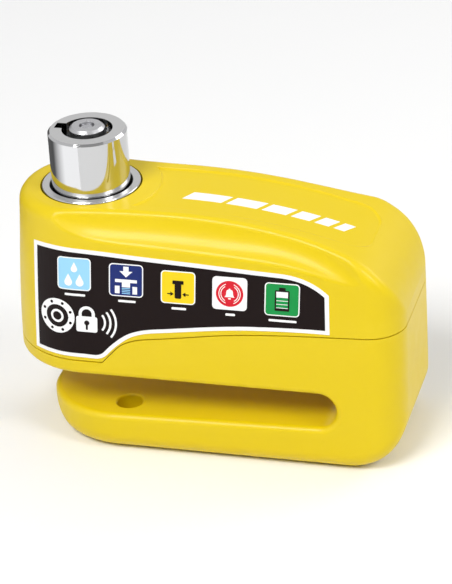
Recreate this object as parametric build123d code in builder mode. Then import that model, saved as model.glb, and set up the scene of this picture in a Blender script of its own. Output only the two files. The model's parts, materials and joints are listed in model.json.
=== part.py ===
from build123d import *
import math
import os

# Alarm disc brake lock, in millimetres, +Z up, standing on its base at Z = 0.
# X runs along the disc slot, with the slot's closed end at +X and the lock
# cylinder at the round -X end.  -Y is the side that carries the label.

# ---------------------------------------------------------------- body sizes
HALF_LENGTH = 46.85
HALF_DEPTH = 19.0
LOCK_X = -27.95
CORNER_R = 8.0
JAW_END_X = LOCK_X + 7.15
JAW_NOSE_R = 9.6
HEEL_R = 13.0
BASE_EDGE_R = 4.5

SLOT_CEILING = 19.5
SLOT_FLOOR_MOUTH = 9.1
SLOT_FLOOR_END = 10.8
SLOT_ROUND_X = 27.4
SLOT_EDGE_R = 1.5

# ---------------------------------------------------------- seam of the case
SEAM_LOW = 23.1
SEAM_GAP = 0.3
SEAM_S = [(8.2, 26.0), (9.8, 27.6), (11.6, 28.7), (13.6, 29.4), (19.7, 30.4), (32.9, 32.4), (44.0, 33.5), (60.0, 34.3)]
SEAM_S_START = 5.5
SEAM_HIGH = 34.9

# ------------------------------------------------------------- upper cover
# height and half depth of the case, which leans in towards its top
CASE_SECTIONS = [(15.0, 19.0), (24.0, 18.8), (35.0, 18.3), (46.0, 17.5), (59.5, 16.5)]
COVER_TOP = 59.5
TOP_ROUNDING = 2.9
CREASE_R = 1.5
PANEL_DEPTH = 0.35
PANEL_EDGE_R = 0.9
PANEL_HALF = 10.2
PANEL_START_R = 15.8
PANEL_END_X = LOCK_X + 66.8
TOP_ARC_START = LOCK_X + 20.0
TOP_ARC_R = 150.0
TOP_ARC_END = LOCK_X + 62.0
END_FACE_TOP = 38.5
CAVITY_SECTIONS = [(22.0, 16.4), (35.0, 15.9), (47.5, 15.0)]
CAVITY_STEP_Z = 47.5

# x from the lock axis, half width of the flat top, height of the crease,
# half width and height of the scoop's lower edge
SCOOP = [
    (-13.0, 14.8, 59.6, 18.6, 54.8),
    (4.6, 13.9, 59.6, 18.1, 53.0),
    (16.0, 13.2, 59.6, 17.9, 52.4),
    (26.0, 13.0, 59.5, 17.9, 52.0),
    (36.0, 13.0, 58.7, 17.9, 51.5),
    (46.0, 13.2, 57.2, 17.9, 50.9),
    (54.5, 13.9, 55.5, 18.0, 49.3),
    (62.0, 15.6, 53.3, 18.3, 46.6),
    (70.0, 18.2, 48.6, 19.6, 42.6),
]

# ----------------------------------------------------------- lock cylinder
BARREL_R = 9.0
BARREL_BOTTOM = 45.4
BARREL_TOP = 73.0
LIP_BOTTOM = 66.0
BORE_R = 6.5
KEYWAY_R = 5.8
POST_R = 4.05
POST_TOP = 73.8
TRAVEL = 13.2
TUBE_IN_R = 9.06
TUBE_OUT_R = 11.0
TUBE_BOTTOM = 29.5
TUBE_TOP = 55.4
BEZEL_IN_R = 9.4
BEZEL_OUT_R = 11.35
BEZEL_SEAT = 57.3
BEZEL_TOP = 59.8
PIN_COUNT = 7
PIN_CIRCLE_R = 4.95
TUMBLER_R = 0.7
FLANGE_BOTTOM = 62.0
BLOCK_BOTTOM = 52.0
BOLT_BOTTOM = 46.5
BOLT_TOP = 50.5
CRANK_R = 2.2
CRANK_PIN_R = 0.8
WINDOW_HALF = 2.8

# ------------------------------------------------------ locking pin and slide
PIN_X = LOCK_X + 9.2
PIN_Y = -12.1
LOCK_PIN_R = 2.75
PIN_TIP = 20.35
CARRIER_BOTTOM = 41.4
CARRIER_R = 8.8
CARRIER_BOSS_R = 3.7
ARM_WIDTH = 7.0
BUSH_OUT_R = 3.6
BUSH_TOP = 27.5
PIN_HOLE_R = 3.05
PIN_HOLE_BOTTOM = 3.6
PIN_HOLE_MOUTH = 9.5
SPRING_R = 4.1
SPRING_WIRE_R = 0.4
SWITCH_Y = 7.9

# -------------------------------------------------------------- electronics
FLOOR_Z = SEAM_LOW
SIREN_X = -3.4
SIREN_R = 10.0
BOARD_BOTTOM = 41.0
BOARD_TOP = 42.2
BOARD_X = 14.25
BOARD_LENGTH = 38.5
BOARD_WIDTH = 28.0
POST_XS = (-2.0, 30.5)
POST_Y = 12.3
CELL_R = 5.8
CELL_LENGTH = 5.4
CELL_XS = (14.9, 27.1)
CELL_Z = 30.4
REAR_SCREW = (37.5, 10.5)
FRONT_SCREW = (-9.5, 12.0)
SCREW_R = 1.5
SWITCH_TOP = 26.7
LABEL_THICK = 0.15
# label outline seen from the front: x from the lock axis, height
LABEL_LEFT_TOP = (-9.9, 51.2)
LABEL_TOP = [(-4.1, 51.5), (1.0, 51.3), (7.5, 51.0), (14.1, 50.6), (27.0, 50.0), (40.7, 49.3), (47.5, 49.0)]
LABEL_NOTCH = [(50.6, 48.7), (53.6, 47.9), (56.6, 46.4), (58.9, 44.6)]
LABEL_RIGHT_BOTTOM = (58.9, 35.2)
LABEL_BOTTOM = [(53.1, 35.2), (46.7, 35.0), (38.2, 34.5), (26.4, 33.1), (19.8, 32.2), (16.5, 31.7), (13.8, 30.9)]
LABEL_LEFT = [(11.8, 29.9), (9.7, 28.3), (7.5, 26.2), (6.3, 25.0), (5.0, 24.4), (2.7, 24.3), (-4.1, 24.3), (-11.2, 24.3)]

os.makedirs("parts", exist_ok=True)


def plan_outline(half_depth, centre_x, inset=0.0):
    """Plan of the case: a round end about centre_x and a square end with rounded corners."""
    side = half_depth - inset
    right = HALF_LENGTH - inset
    corner = CORNER_R - inset
    diagonal = corner * math.sqrt(0.5)
    with BuildLine() as outline:
        Line((centre_x, -side), (right - corner, -side))
        ThreePointArc(
            (right - corner, -side),
            (right - corner + diagonal, -side + corner - diagonal),
            (right, -side + corner),
        )
        Line((right, -side + corner), (right, side - corner))
        ThreePointArc(
            (right, side - corner),
            (right - corner + diagonal, side - corner + diagonal),
            (right - corner, side),
        )
        Line((right - corner, side), (centre_x, side))
        ThreePointArc((centre_x, side), (centre_x - side, 0), (centre_x, -side))
    make_face(outline.edges())


def seam_curve(lift):
    """The S-shaped seam from left to right, raised by lift."""
    Line((-HALF_LENGTH - 5, SEAM_LOW + lift), (LOCK_X + SEAM_S_START, SEAM_LOW + lift))
    Spline(
        (LOCK_X + SEAM_S_START, SEAM_LOW + lift),
        *[(LOCK_X + x, z + lift) for x, z in SEAM_S],
        (HALF_LENGTH + 5, SEAM_HIGH + lift),
        tangents=[(1, 1.15), (1, 0.02)],
    )


def scoop_face(half_top, top, half_low, low):
    """Concave region cut from the front shoulder, in a Y-Z plane."""
    with BuildLine() as outline:
        ThreePointArc(
            (-half_top, top),
            (-half_top - 0.30 * (half_low - half_top), top - 0.60 * (top - low)),
            (-half_low, low),
        )
        Line((-half_low, low), (-28, low - 3))
        Line((-28, low - 3), (-28, top + 8))
        Line((-28, top + 8), (-half_top, top + 8))
        Line((-half_top, top + 8), (-half_top, top))
    make_face(outline.edges())


def top_height(x):
    """Height of the cover's top line at x."""
    reach = max(0.0, x - TOP_ARC_START)
    return COVER_TOP - TOP_ARC_R + math.sqrt(TOP_ARC_R**2 - reach**2)


def top_curve(drop, pull_in):
    """Top line of the cover from the square end to the flat part, lowered by drop."""
    end_z = top_height(TOP_ARC_END)
    slope = -(TOP_ARC_END - TOP_ARC_START) / (end_z - COVER_TOP + TOP_ARC_R)
    Bezier(
        (HALF_LENGTH - pull_in, END_FACE_TOP - drop),
        (HALF_LENGTH - pull_in - 0.8, 46.0 - drop),
        (TOP_ARC_END + 5.0, end_z + 5.0 * slope - drop),
        (TOP_ARC_END, end_z - drop),
    )
    middle = (TOP_ARC_START + TOP_ARC_END) / 2
    ThreePointArc(
        (TOP_ARC_END, end_z - drop),
        (middle, top_height(middle) - drop),
        (TOP_ARC_START, COVER_TOP - drop),
    )


def upright(radius, height, bottom=0.0, mode=Mode.ADD):
    """Vertical cylinder whose lower face is at bottom, at the current location."""
    with Locations((0, 0, bottom)):
        Cylinder(radius, height, align=(Align.CENTER, Align.CENTER, Align.MIN), mode=mode)


def screw(bottom, head_radius, head_height, shank_radius, length):
    """Pan-head screw pointing up, with a cross recess in the underside of its head."""
    upright(head_radius, head_height, bottom)
    upright(shank_radius, length, bottom + head_height)
    with Locations((0, 0, bottom)):
        for angle in (0, 90):
            Box(
                head_radius * 1.2, head_radius * 0.28, head_height * 1.1,
                rotation=(0, 0, angle), mode=Mode.SUBTRACT,
            )


def label_point(point):
    """A point of the label's outline, moved from the lock axis to the origin."""
    return (LOCK_X + point[0], point[1])


# ----------------------------------------------------- outer form of the case
with BuildPart() as case_form:
    for height, half_depth in CASE_SECTIONS:
        with BuildSketch(Plane.XY.offset(height)):
            plan_outline(half_depth, LOCK_X)
    loft()

with BuildPart() as label_form:
    for height, half_depth in CASE_SECTIONS:
        with BuildSketch(Plane.XY.offset(height)):
            plan_outline(half_depth + LABEL_THICK, LOCK_X)
    loft()

# ---------------------------------------------------------------- lower body
with BuildPart() as lower_body:
    with BuildSketch(Plane.XY):
        plan_outline(HALF_DEPTH, JAW_END_X)
    extrude(amount=15)
    add(case_form.part)
    with BuildSketch(Plane.XZ):
        with BuildLine():
            seam_curve(0)
            Line((HALF_LENGTH + 5, SEAM_HIGH), (HALF_LENGTH + 5, HEEL_R))
            Line((HALF_LENGTH + 5, HEEL_R), (HALF_LENGTH, HEEL_R))
            ThreePointArc(
                (HALF_LENGTH, HEEL_R),
                (HALF_LENGTH - HEEL_R * (1 - math.sqrt(0.5)), HEEL_R * (1 - math.sqrt(0.5))),
                (HALF_LENGTH - HEEL_R, 0),
            )
            Line((HALF_LENGTH - HEEL_R, 0), (JAW_END_X - HALF_DEPTH + JAW_NOSE_R, 0))
            ThreePointArc(
                (JAW_END_X - HALF_DEPTH + JAW_NOSE_R, 0),
                (
                    JAW_END_X - HALF_DEPTH + JAW_NOSE_R * (1 - math.sqrt(0.5)),
                    JAW_NOSE_R * (1 - math.sqrt(0.5)),
                ),
                (JAW_END_X - HALF_DEPTH, JAW_NOSE_R),
            )
            Line((JAW_END_X - HALF_DEPTH, JAW_NOSE_R), (-HALF_LENGTH - 5, JAW_NOSE_R))
            Line((-HALF_LENGTH - 5, JAW_NOSE_R), (-HALF_LENGTH - 5, SEAM_LOW))
        make_face()
    extrude(amount=30, both=True, mode=Mode.INTERSECT)
    fillet(
        lower_body.edges().filter_by(lambda e: e.bounding_box().max.Z < HEEL_R + 0.1)
        .filter_by(lambda e: e.bounding_box().size.Y < 20 or e.bounding_box().size.X > 0.1),
        radius=BASE_EDGE_R,
    )
    with BuildSketch(Plane.XZ):
        with BuildLine():
            Line((-HALF_LENGTH - 5, SLOT_CEILING), (SLOT_ROUND_X, SLOT_CEILING))
            ThreePointArc(
                (SLOT_ROUND_X, SLOT_CEILING),
                (
                    SLOT_ROUND_X + (SLOT_CEILING - SLOT_FLOOR_END) / 2,
                    (SLOT_CEILING + SLOT_FLOOR_END) / 2,
                ),
                (SLOT_ROUND_X, SLOT_FLOOR_END),
            )
            Line((SLOT_ROUND_X, SLOT_FLOOR_END), (JAW_END_X - HALF_DEPTH, SLOT_FLOOR_MOUTH))
            Line((JAW_END_X - HALF_DEPTH, SLOT_FLOOR_MOUTH), (-HALF_LENGTH - 5, SLOT_FLOOR_MOUTH))
            Line((-HALF_LENGTH - 5, SLOT_FLOOR_MOUTH), (-HALF_LENGTH - 5, SLOT_CEILING))
        make_face()
    extrude(amount=30, both=True, mode=Mode.SUBTRACT)
    fillet(
        lower_body.edges().filter_by(lambda e: e.bounding_box().min.Z > SLOT_FLOOR_MOUTH - 0.1)
        .filter_by(lambda e: e.bounding_box().max.Z < SLOT_CEILING + 0.1)
        .filter_by(lambda e: e.bounding_box().size.X > 0.05 or e.bounding_box().size.Y < 30),
        radius=SLOT_EDGE_R,
    )
    with BuildSketch(Plane.XY.offset(FLOOR_Z)):
        plan_outline(HALF_DEPTH, LOCK_X, 3.2)
        with Locations((HALF_LENGTH, 0)):
            Rectangle(2 * 4.5, 60, mode=Mode.SUBTRACT)
    extrude(amount=20, mode=Mode.SUBTRACT)
    with BuildSketch(Plane.XY.offset(FLOOR_Z - 0.5)):
        with Locations((REAR_SCREW[0], REAR_SCREW[1]), (REAR_SCREW[0], -REAR_SCREW[1])):
            Circle(3.4)
    extrude(amount=9.5)
    with BuildSketch(Plane.XY.offset(FLOOR_Z - 0.5)):
        with Locations((FRONT_SCREW[0], FRONT_SCREW[1]), (FRONT_SCREW[0], -FRONT_SCREW[1])):
            Circle(3.2)
    extrude(amount=6.5)
    with BuildSketch(Plane.XY.offset(FLOOR_Z - 0.5)):
        with Locations((PIN_X, PIN_Y)):
            Circle(BUSH_OUT_R + 0.4)
    extrude(amount=BUSH_TOP - FLOOR_Z - 0.5)
    with BuildSketch(Plane.XY.offset(FLOOR_Z - 0.5)):
        with Locations((LOCK_X, 0)):
            Circle(SPRING_R - SPRING_WIRE_R - 0.3)
    extrude(amount=2.0)
    with Locations((PIN_X, PIN_Y, SLOT_CEILING - 1)):
        Cylinder(LOCK_PIN_R + 0.25, 3, align=(Align.CENTER, Align.CENTER, Align.MIN), mode=Mode.SUBTRACT)
    with Locations((PIN_X, PIN_Y, SLOT_CEILING + 0.6)):
        Cylinder(BUSH_OUT_R, 12, align=(Align.CENTER, Align.CENTER, Align.MIN), mode=Mode.SUBTRACT)
    with Locations((PIN_X, PIN_Y, PIN_HOLE_BOTTOM)):
        Cylinder(PIN_HOLE_R, 8, align=(Align.CENTER, Align.CENTER, Align.MIN), mode=Mode.SUBTRACT)
    with Locations((PIN_X, PIN_Y, PIN_HOLE_MOUTH)):
        Cone(PIN_HOLE_R, PIN_HOLE_R + 0.45, 0.45, align=(Align.CENTER, Align.CENTER, Align.CENTER), mode=Mode.SUBTRACT)
    for side in (-1, 1):
        with Locations((REAR_SCREW[0], side * REAR_SCREW[1], -1)):
            Cylinder(SCREW_R + 0.1, 40, align=(Align.CENTER, Align.CENTER, Align.MIN), mode=Mode.SUBTRACT)
            Cylinder(3.0, 5.4, align=(Align.CENTER, Align.CENTER, Align.MIN), mode=Mode.SUBTRACT)
        with Locations((FRONT_SCREW[0], side * FRONT_SCREW[1], SLOT_CEILING - 2)):
            Cylinder(SCREW_R + 0.1, 20, align=(Align.CENTER, Align.CENTER, Align.MIN), mode=Mode.SUBTRACT)
            Cylinder(2.9, 4.6, align=(Align.CENTER, Align.CENTER, Align.MIN), mode=Mode.SUBTRACT)
    with Locations((SIREN_X, 0, SLOT_CEILING - 1)):
        with PolarLocations(5.0, 6):
            Cylinder(0.8, 6, align=(Align.CENTER, Align.CENTER, Align.MIN), mode=Mode.SUBTRACT)
        Cylinder(0.8, 6, align=(Align.CENTER, Align.CENTER, Align.MIN), mode=Mode.SUBTRACT)
lower_body.part.label = "lower_body"
export_step(lower_body.part, "parts/lower_body.step")

# --------------------------------------------------------------- upper cover
with BuildPart() as shoulder_scoops:
    for x, half_top, top, half_low, low in SCOOP:
        with BuildSketch(Plane.YZ.offset(LOCK_X + x)):
            scoop_face(half_top, top, half_low, low)
    loft()
    mirror(about=Plane.XZ)

with BuildPart() as top_panel:
    with BuildSketch(Plane.XY.offset(40)):
        with Locations(((LOCK_X + 5 + PANEL_END_X) / 2, 0)):
            RectangleRounded(PANEL_END_X - LOCK_X - 5, 2 * PANEL_HALF, 6)
        with Locations((LOCK_X, 0)):
            Circle(PANEL_START_R, mode=Mode.SUBTRACT)
    extrude(amount=25)
    with BuildSketch(Plane.XZ):
        with BuildLine():
            Line((-HALF_LENGTH, 10), (HALF_LENGTH, 10))
            Line((HALF_LENGTH, 10), (HALF_LENGTH, END_FACE_TOP - PANEL_DEPTH))
            top_curve(PANEL_DEPTH, 0)
            Line((TOP_ARC_START, COVER_TOP - PANEL_DEPTH), (-HALF_LENGTH, COVER_TOP - PANEL_DEPTH))
            Line((-HALF_LENGTH, COVER_TOP - PANEL_DEPTH), (-HALF_LENGTH, 10))
        make_face()
    extrude(amount=30, both=True, mode=Mode.SUBTRACT)
    fillet(
        top_panel.edges().filter_by(lambda e: e.bounding_box().max.Z < COVER_TOP)
        .filter_by(lambda e: abs((e @ 0.5).Y) > 7 or (e @ 0.5).X > PANEL_END_X - 1.5 or (e @ 0.5).X < -12),
        radius=PANEL_EDGE_R,
    )

with BuildPart() as cover_cavity:
    for height, half_depth in CAVITY_SECTIONS:
        with BuildSketch(Plane.XY.offset(height)):
            plan_outline(half_depth, LOCK_X)
    loft()
    with Locations(((LOCK_X + 15.5 + HALF_LENGTH) / 2, 0, CAVITY_STEP_Z - 5)):
        Box(
            HALF_LENGTH - LOCK_X - 15.5, 21.6, 20,
            align=(Align.CENTER, Align.CENTER, Align.MIN),
        )
    with BuildSketch(Plane.XZ):
        with BuildLine():
            Line((-HALF_LENGTH, SEAM_LOW - 2), (HALF_LENGTH - 2.6, SEAM_LOW - 2))
            Line((HALF_LENGTH - 2.6, SEAM_LOW - 2), (HALF_LENGTH - 2.6, END_FACE_TOP - 2.6))
            top_curve(2.6, 2.6)
            Line((TOP_ARC_START, COVER_TOP - 2.6), (-HALF_LENGTH, COVER_TOP - 2.6))
            Line((-HALF_LENGTH, COVER_TOP - 2.6), (-HALF_LENGTH, SEAM_LOW - 2))
        make_face()
    extrude(amount=30, both=True, mode=Mode.INTERSECT)

with BuildPart() as upper_cover:
    add(case_form.part)
    with BuildSketch(Plane.XZ):
        with BuildLine():
            seam_curve(SEAM_GAP)
            Line((HALF_LENGTH + 5, SEAM_HIGH + SEAM_GAP), (HALF_LENGTH + 5, END_FACE_TOP))
            Line((HALF_LENGTH + 5, END_FACE_TOP), (HALF_LENGTH, END_FACE_TOP))
            top_curve(0, 0)
            Line((TOP_ARC_START, COVER_TOP), (-HALF_LENGTH - 5, COVER_TOP))
            Line((-HALF_LENGTH - 5, COVER_TOP), (-HALF_LENGTH - 5, SEAM_LOW + SEAM_GAP))
        make_face()
    extrude(amount=30, both=True, mode=Mode.INTERSECT)
    fillet(
        upper_cover.edges().filter_by(lambda e: e.bounding_box().min.Z > END_FACE_TOP - 0.2)
        .filter_by(lambda e: e.bounding_box().size.Y < 20 or e.bounding_box().size.X > 0.5),
        radius=TOP_ROUNDING,
    )
    add(shoulder_scoops.part, mode=Mode.SUBTRACT)
    crease_edges = (
        upper_cover.edges().filter_by(GeomType.BSPLINE)
        .filter_by(lambda e: e.bounding_box().min.Z > 45 and 3 < e.bounding_box().size.X < 60)
        .filter_by(lambda e: 12.8 < abs(e.bounding_box().center().Y) and e.bounding_box().size.Y > 0.75)
    )
    fillet(crease_edges, radius=CREASE_R)
    add(top_panel.part, mode=Mode.SUBTRACT)
    add(cover_cavity.part, mode=Mode.SUBTRACT)
    with Locations((LOCK_X, 0)):
        upright(13.2, COVER_TOP - 46.0 - 0.5, 46.0)
        upright(TUBE_OUT_R + 0.03, 40, 30, Mode.SUBTRACT)
        upright(BEZEL_OUT_R + 0.35, 10, BEZEL_SEAT, Mode.SUBTRACT)
    with Locations((PIN_X, PIN_Y)):
        upright(CARRIER_BOSS_R + 0.4, 24, 22.5, Mode.SUBTRACT)
    for side in (-1, 1):
        with Locations((REAR_SCREW[0], side * REAR_SCREW[1])):
            upright(3.4, 14, 34.0)
            upright(SCREW_R + 0.05, 9.5, 33.0, Mode.SUBTRACT)
        with Locations((FRONT_SCREW[0], side * FRONT_SCREW[1])):
            upright(3.2, 18, 30.0)
            upright(SCREW_R + 0.05, 9.5, 29.0, Mode.SUBTRACT)
        for x in POST_XS:
            with Locations((x, side * POST_Y)):
                upright(2.2, CAVITY_STEP_Z - BOARD_TOP + 1, BOARD_TOP)
                upright(1.0, 4, BOARD_TOP - 0.5, Mode.SUBTRACT)
upper_cover.part.label = "upper_cover"
export_step(upper_cover.part, "parts/upper_cover.step")

# ----------------------------------------------------------------- gasket
with BuildPart() as cover_gasket:
    with BuildSketch(Plane.XY.offset(SEAM_LOW - 1)):
        plan_outline(HALF_DEPTH, LOCK_X, 1.2)
    extrude(amount=16)
    with BuildSketch(Plane.XY.offset(SEAM_LOW - 2)):
        plan_outline(HALF_DEPTH, LOCK_X, 2.5)
    extrude(amount=20, mode=Mode.SUBTRACT)
    with BuildSketch(Plane.XZ):
        with BuildLine():
            seam_curve(0)
            Line((HALF_LENGTH + 5, SEAM_HIGH), (HALF_LENGTH + 5, SEAM_HIGH + SEAM_GAP))
            seam_curve(SEAM_GAP)
            Line((-HALF_LENGTH - 5, SEAM_LOW + SEAM_GAP), (-HALF_LENGTH - 5, SEAM_LOW))
        make_face()
    extrude(amount=30, both=True, mode=Mode.INTERSECT)
    with Locations((PIN_X, PIN_Y)):
        upright(CARRIER_BOSS_R + 0.4, 24, 22.5, Mode.SUBTRACT)
cover_gasket.part.label = "cover_gasket"
export_step(cover_gasket.part, "parts/cover_gasket.step")

# ----------------------------------------------------------------- fixings
with BuildPart() as base_screws:
    for side in (-1, 1):
        with Locations((REAR_SCREW[0], side * REAR_SCREW[1])):
            screw(1.8, 2.8, 2.5, SCREW_R, 37.7)
base_screws.part.label = "base_screws"
export_step(base_screws.part, "parts/base_screws.step")

with BuildPart() as jaw_screws:
    for side in (-1, 1):
        with Locations((FRONT_SCREW[0], side * FRONT_SCREW[1])):
            screw(SLOT_CEILING + 0.3, 2.7, 2.2, SCREW_R, 15.4)
jaw_screws.part.label = "jaw_screws"
export_step(jaw_screws.part, "parts/jaw_screws.step")

# ---------------------------------------------------- lock cylinder surround
with BuildPart() as guide_tube:
    with Locations((LOCK_X, 0)):
        upright(TUBE_OUT_R, TUBE_TOP - TUBE_BOTTOM, TUBE_BOTTOM)
        upright(TUBE_IN_R, TUBE_TOP - TUBE_BOTTOM, TUBE_BOTTOM, Mode.SUBTRACT)
        with Locations(Rotation(0, 0, math.degrees(math.atan2(PIN_Y, PIN_X - LOCK_X)))):
            with Locations((10, 0, TUBE_BOTTOM - 1)):
                Box(12, ARM_WIDTH + 0.8, 17.2, align=(Align.CENTER, Align.CENTER, Align.MIN), mode=Mode.SUBTRACT)
        for bottom in (BOLT_BOTTOM - 0.3, BOLT_BOTTOM - TRAVEL - 0.3):
            with Locations((-10, 0, bottom)):
                Box(
                    6, 2 * WINDOW_HALF, BOLT_TOP - BOLT_BOTTOM + 0.6,
                    align=(Align.CENTER, Align.CENTER, Align.MIN), mode=Mode.SUBTRACT,
                )
guide_tube.part.label = "guide_tube"
export_step(guide_tube.part, "parts/guide_tube.step")

with BuildPart() as cylinder_seal:
    with Locations((LOCK_X, 0)):
        upright(TUBE_OUT_R - 0.1, BEZEL_SEAT - TUBE_TOP - 0.1, TUBE_TOP)
        upright(BARREL_R + 0.08, BEZEL_SEAT - TUBE_TOP - 0.1, TUBE_TOP, Mode.SUBTRACT)
cylinder_seal.part.label = "cylinder_seal"
export_step(cylinder_seal.part, "parts/cylinder_seal.step")

with BuildPart() as bezel_ring:
    with Locations((LOCK_X, 0)):
        upright(BEZEL_OUT_R, BEZEL_TOP - BEZEL_SEAT, BEZEL_SEAT)
        upright(BEZEL_IN_R, BEZEL_TOP - BEZEL_SEAT, BEZEL_SEAT, Mode.SUBTRACT)
    fillet(bezel_ring.edges().group_by(Axis.Z)[-1], radius=0.35)
bezel_ring.part.label = "bezel_ring"
export_step(bezel_ring.part, "parts/bezel_ring.step")

# ------------------------------------------------------------ lock cylinder
with BuildPart() as cylinder_barrel:
    with Locations((LOCK_X, 0)):
        upright(BARREL_R, BARREL_TOP - BARREL_BOTTOM, BARREL_BOTTOM)
    chamfer(cylinder_barrel.edges().group_by(Axis.Z)[-1], length=0.5)
    with Locations((LOCK_X, 0)):
        upright(BORE_R, LIP_BOTTOM - BARREL_BOTTOM, BARREL_BOTTOM, Mode.SUBTRACT)
        upright(KEYWAY_R, 10, LIP_BOTTOM - 1, Mode.SUBTRACT)
        with Locations((-6.2, 0.5, LIP_BOTTOM)):
            Box(2.8, 2.6, 10, align=(Align.CENTER, Align.CENTER, Align.MIN), mode=Mode.SUBTRACT)
        with Locations((-8, 0, BOLT_BOTTOM - 0.15)):
            Box(
                8, 2 * WINDOW_HALF - 0.2, BOLT_TOP - BOLT_BOTTOM + 0.3,
                align=(Align.CENTER, Align.CENTER, Align.MIN), mode=Mode.SUBTRACT,
            )
        with PolarLocations(7.75, 2, start_angle=45):
            upright(0.65, 5.0, BARREL_BOTTOM - 1, Mode.SUBTRACT)
cylinder_barrel.part.label = "cylinder_barrel"
export_step(cylinder_barrel.part, "parts/cylinder_barrel.step")

with BuildPart() as key_spindle:
    with Locations((LOCK_X, 0)):
        upright(BORE_R - 0.08, LIP_BOTTOM - FLANGE_BOTTOM - 0.2, FLANGE_BOTTOM + 0.05)
        upright(2.5, FLANGE_BOTTOM - BLOCK_BOTTOM + 0.05, BLOCK_BOTTOM)
        with PolarLocations(PIN_CIRCLE_R, PIN_COUNT, start_angle=90):
            upright(TUMBLER_R + 0.05, 5, FLANGE_BOTTOM - 0.5, Mode.SUBTRACT)
key_spindle.part.label = "key_spindle"
export_step(key_spindle.part, "parts/key_spindle.step")

with BuildPart() as key_post:
    with Locations((LOCK_X, 0)):
        upright(POST_R, POST_TOP - LIP_BOTTOM + 0.1, LIP_BOTTOM - 0.1)
    chamfer(key_post.edges().group_by(Axis.Z)[-1], length=0.6)
    with Locations((LOCK_X, 0)):
        upright(1.75, 5.6, POST_TOP - 5.5, Mode.SUBTRACT)
key_post.part.label = "key_post"
export_step(key_post.part, "parts/key_post.step")

with BuildPart() as centre_pin:
    with Locations((LOCK_X, 0)):
        upright(1.7, 5.2, POST_TOP - 5.45)
    fillet(centre_pin.edges().group_by(Axis.Z)[-1], radius=0.9)
centre_pin.part.label = "centre_pin"
export_step(centre_pin.part, "parts/centre_pin.step")

with BuildPart() as pin_block:
    with Locations((LOCK_X, 0)):
        upright(BORE_R - 0.03, FLANGE_BOTTOM - BLOCK_BOTTOM, BLOCK_BOTTOM)
        upright(2.56, 12, BLOCK_BOTTOM - 1, Mode.SUBTRACT)
        with PolarLocations(PIN_CIRCLE_R, PIN_COUNT, start_angle=90):
            upright(TUMBLER_R + 0.05, 10, BLOCK_BOTTOM + 0.6, Mode.SUBTRACT)
pin_block.part.label = "pin_block"
export_step(pin_block.part, "parts/pin_block.step")

with BuildPart() as key_pins:
    with Locations((LOCK_X, 0)):
        with PolarLocations(PIN_CIRCLE_R, PIN_COUNT, start_angle=90):
            upright(TUMBLER_R, 3.75, FLANGE_BOTTOM + 0.05)
key_pins.part.label = "key_pins"
export_step(key_pins.part, "parts/key_pins.step")

with BuildPart() as driver_pins:
    with Locations((LOCK_X, 0)):
        with PolarLocations(PIN_CIRCLE_R, PIN_COUNT, start_angle=90):
            upright(TUMBLER_R, 3.6, FLANGE_BOTTOM - 3.65)
driver_pins.part.label = "driver_pins"
export_step(driver_pins.part, "parts/driver_pins.step")

with BuildPart() as tumbler_spring:
    with BuildLine() as tumbler_coil:
        Helix(pitch=1.1, height=5.5, radius=0.5, center=(0, 0, BLOCK_BOTTOM + 0.74))
    with BuildSketch(Plane(origin=tumbler_coil.line @ 0, z_dir=tumbler_coil.line % 0)):
        Circle(0.12)
    sweep()
with BuildPart() as tumbler_springs:
    with Locations((LOCK_X, 0)):
        with PolarLocations(PIN_CIRCLE_R, PIN_COUNT, start_angle=90):
            add(tumbler_spring.part)
tumbler_springs.part.label = "tumbler_springs"
export_step(tumbler_springs.part, "parts/tumbler_springs.step")

with BuildPart() as drive_cam:
    with Locations((LOCK_X, 0)):
        upright(3.2, 1.05, BOLT_TOP + 0.35)
        with Locations((0, CRANK_R)):
            upright(CRANK_PIN_R, 4.2, BOLT_BOTTOM + 0.4)
drive_cam.part.label = "drive_cam"
export_step(drive_cam.part, "parts/drive_cam.step")

with BuildPart() as latch_bolt:
    with Locations((LOCK_X + 0.2, 0, BOLT_BOTTOM)):
        Box(4.4, 8.8, BOLT_TOP - BOLT_BOTTOM, align=(Align.CENTER, Align.CENTER, Align.MIN))
    with Locations((LOCK_X - 4.9, 0, BOLT_BOTTOM)):
        Box(7.0, 2 * WINDOW_HALF - 0.4, BOLT_TOP - BOLT_BOTTOM, align=(Align.CENTER, Align.CENTER, Align.MIN))
    with Locations((LOCK_X, 1.1, BOLT_BOTTOM)):
        Box(2.6, 4.8, 10, align=(Align.CENTER, Align.CENTER, Align.CENTER), mode=Mode.SUBTRACT)
latch_bolt.part.label = "latch_bolt"
export_step(latch_bolt.part, "parts/latch_bolt.step")

# ------------------------------------------------- carrier and locking pin
with BuildPart() as pin_carrier:
    with Locations((LOCK_X, 0)):
        upright(CARRIER_R, BARREL_BOTTOM - CARRIER_BOTTOM, CARRIER_BOTTOM)
        upright(BORE_R - 0.1, 0.8, BARREL_BOTTOM)
        upright(SPRING_R - SPRING_WIRE_R - 0.3, 1.2, CARRIER_BOTTOM - 1.2)
    with BuildSketch(Plane.XY.offset(CARRIER_BOTTOM)):
        with BuildLine():
            arm = Line((LOCK_X, 0), (PIN_X, PIN_Y))
        with Locations(((LOCK_X + PIN_X) / 2, PIN_Y / 2)):
            Rectangle(
                arm.length, ARM_WIDTH, rotation=math.degrees(math.atan2(PIN_Y, PIN_X - LOCK_X))
            )
        with Locations((PIN_X, PIN_Y)):
            Circle(CARRIER_BOSS_R)
    extrude(amount=BARREL_BOTTOM - CARRIER_BOTTOM)
    with Locations((PIN_X, PIN_Y)):
        upright(LOCK_PIN_R + 0.02, 10, CARRIER_BOTTOM - 1, Mode.SUBTRACT)
    with Locations((LOCK_X, 0)):
        with PolarLocations(7.75, 2, start_angle=45):
            upright(0.7, 10, CARRIER_BOTTOM - 1, Mode.SUBTRACT)
            upright(1.1, 1.6, CARRIER_BOTTOM - 0.1, Mode.SUBTRACT)
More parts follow.
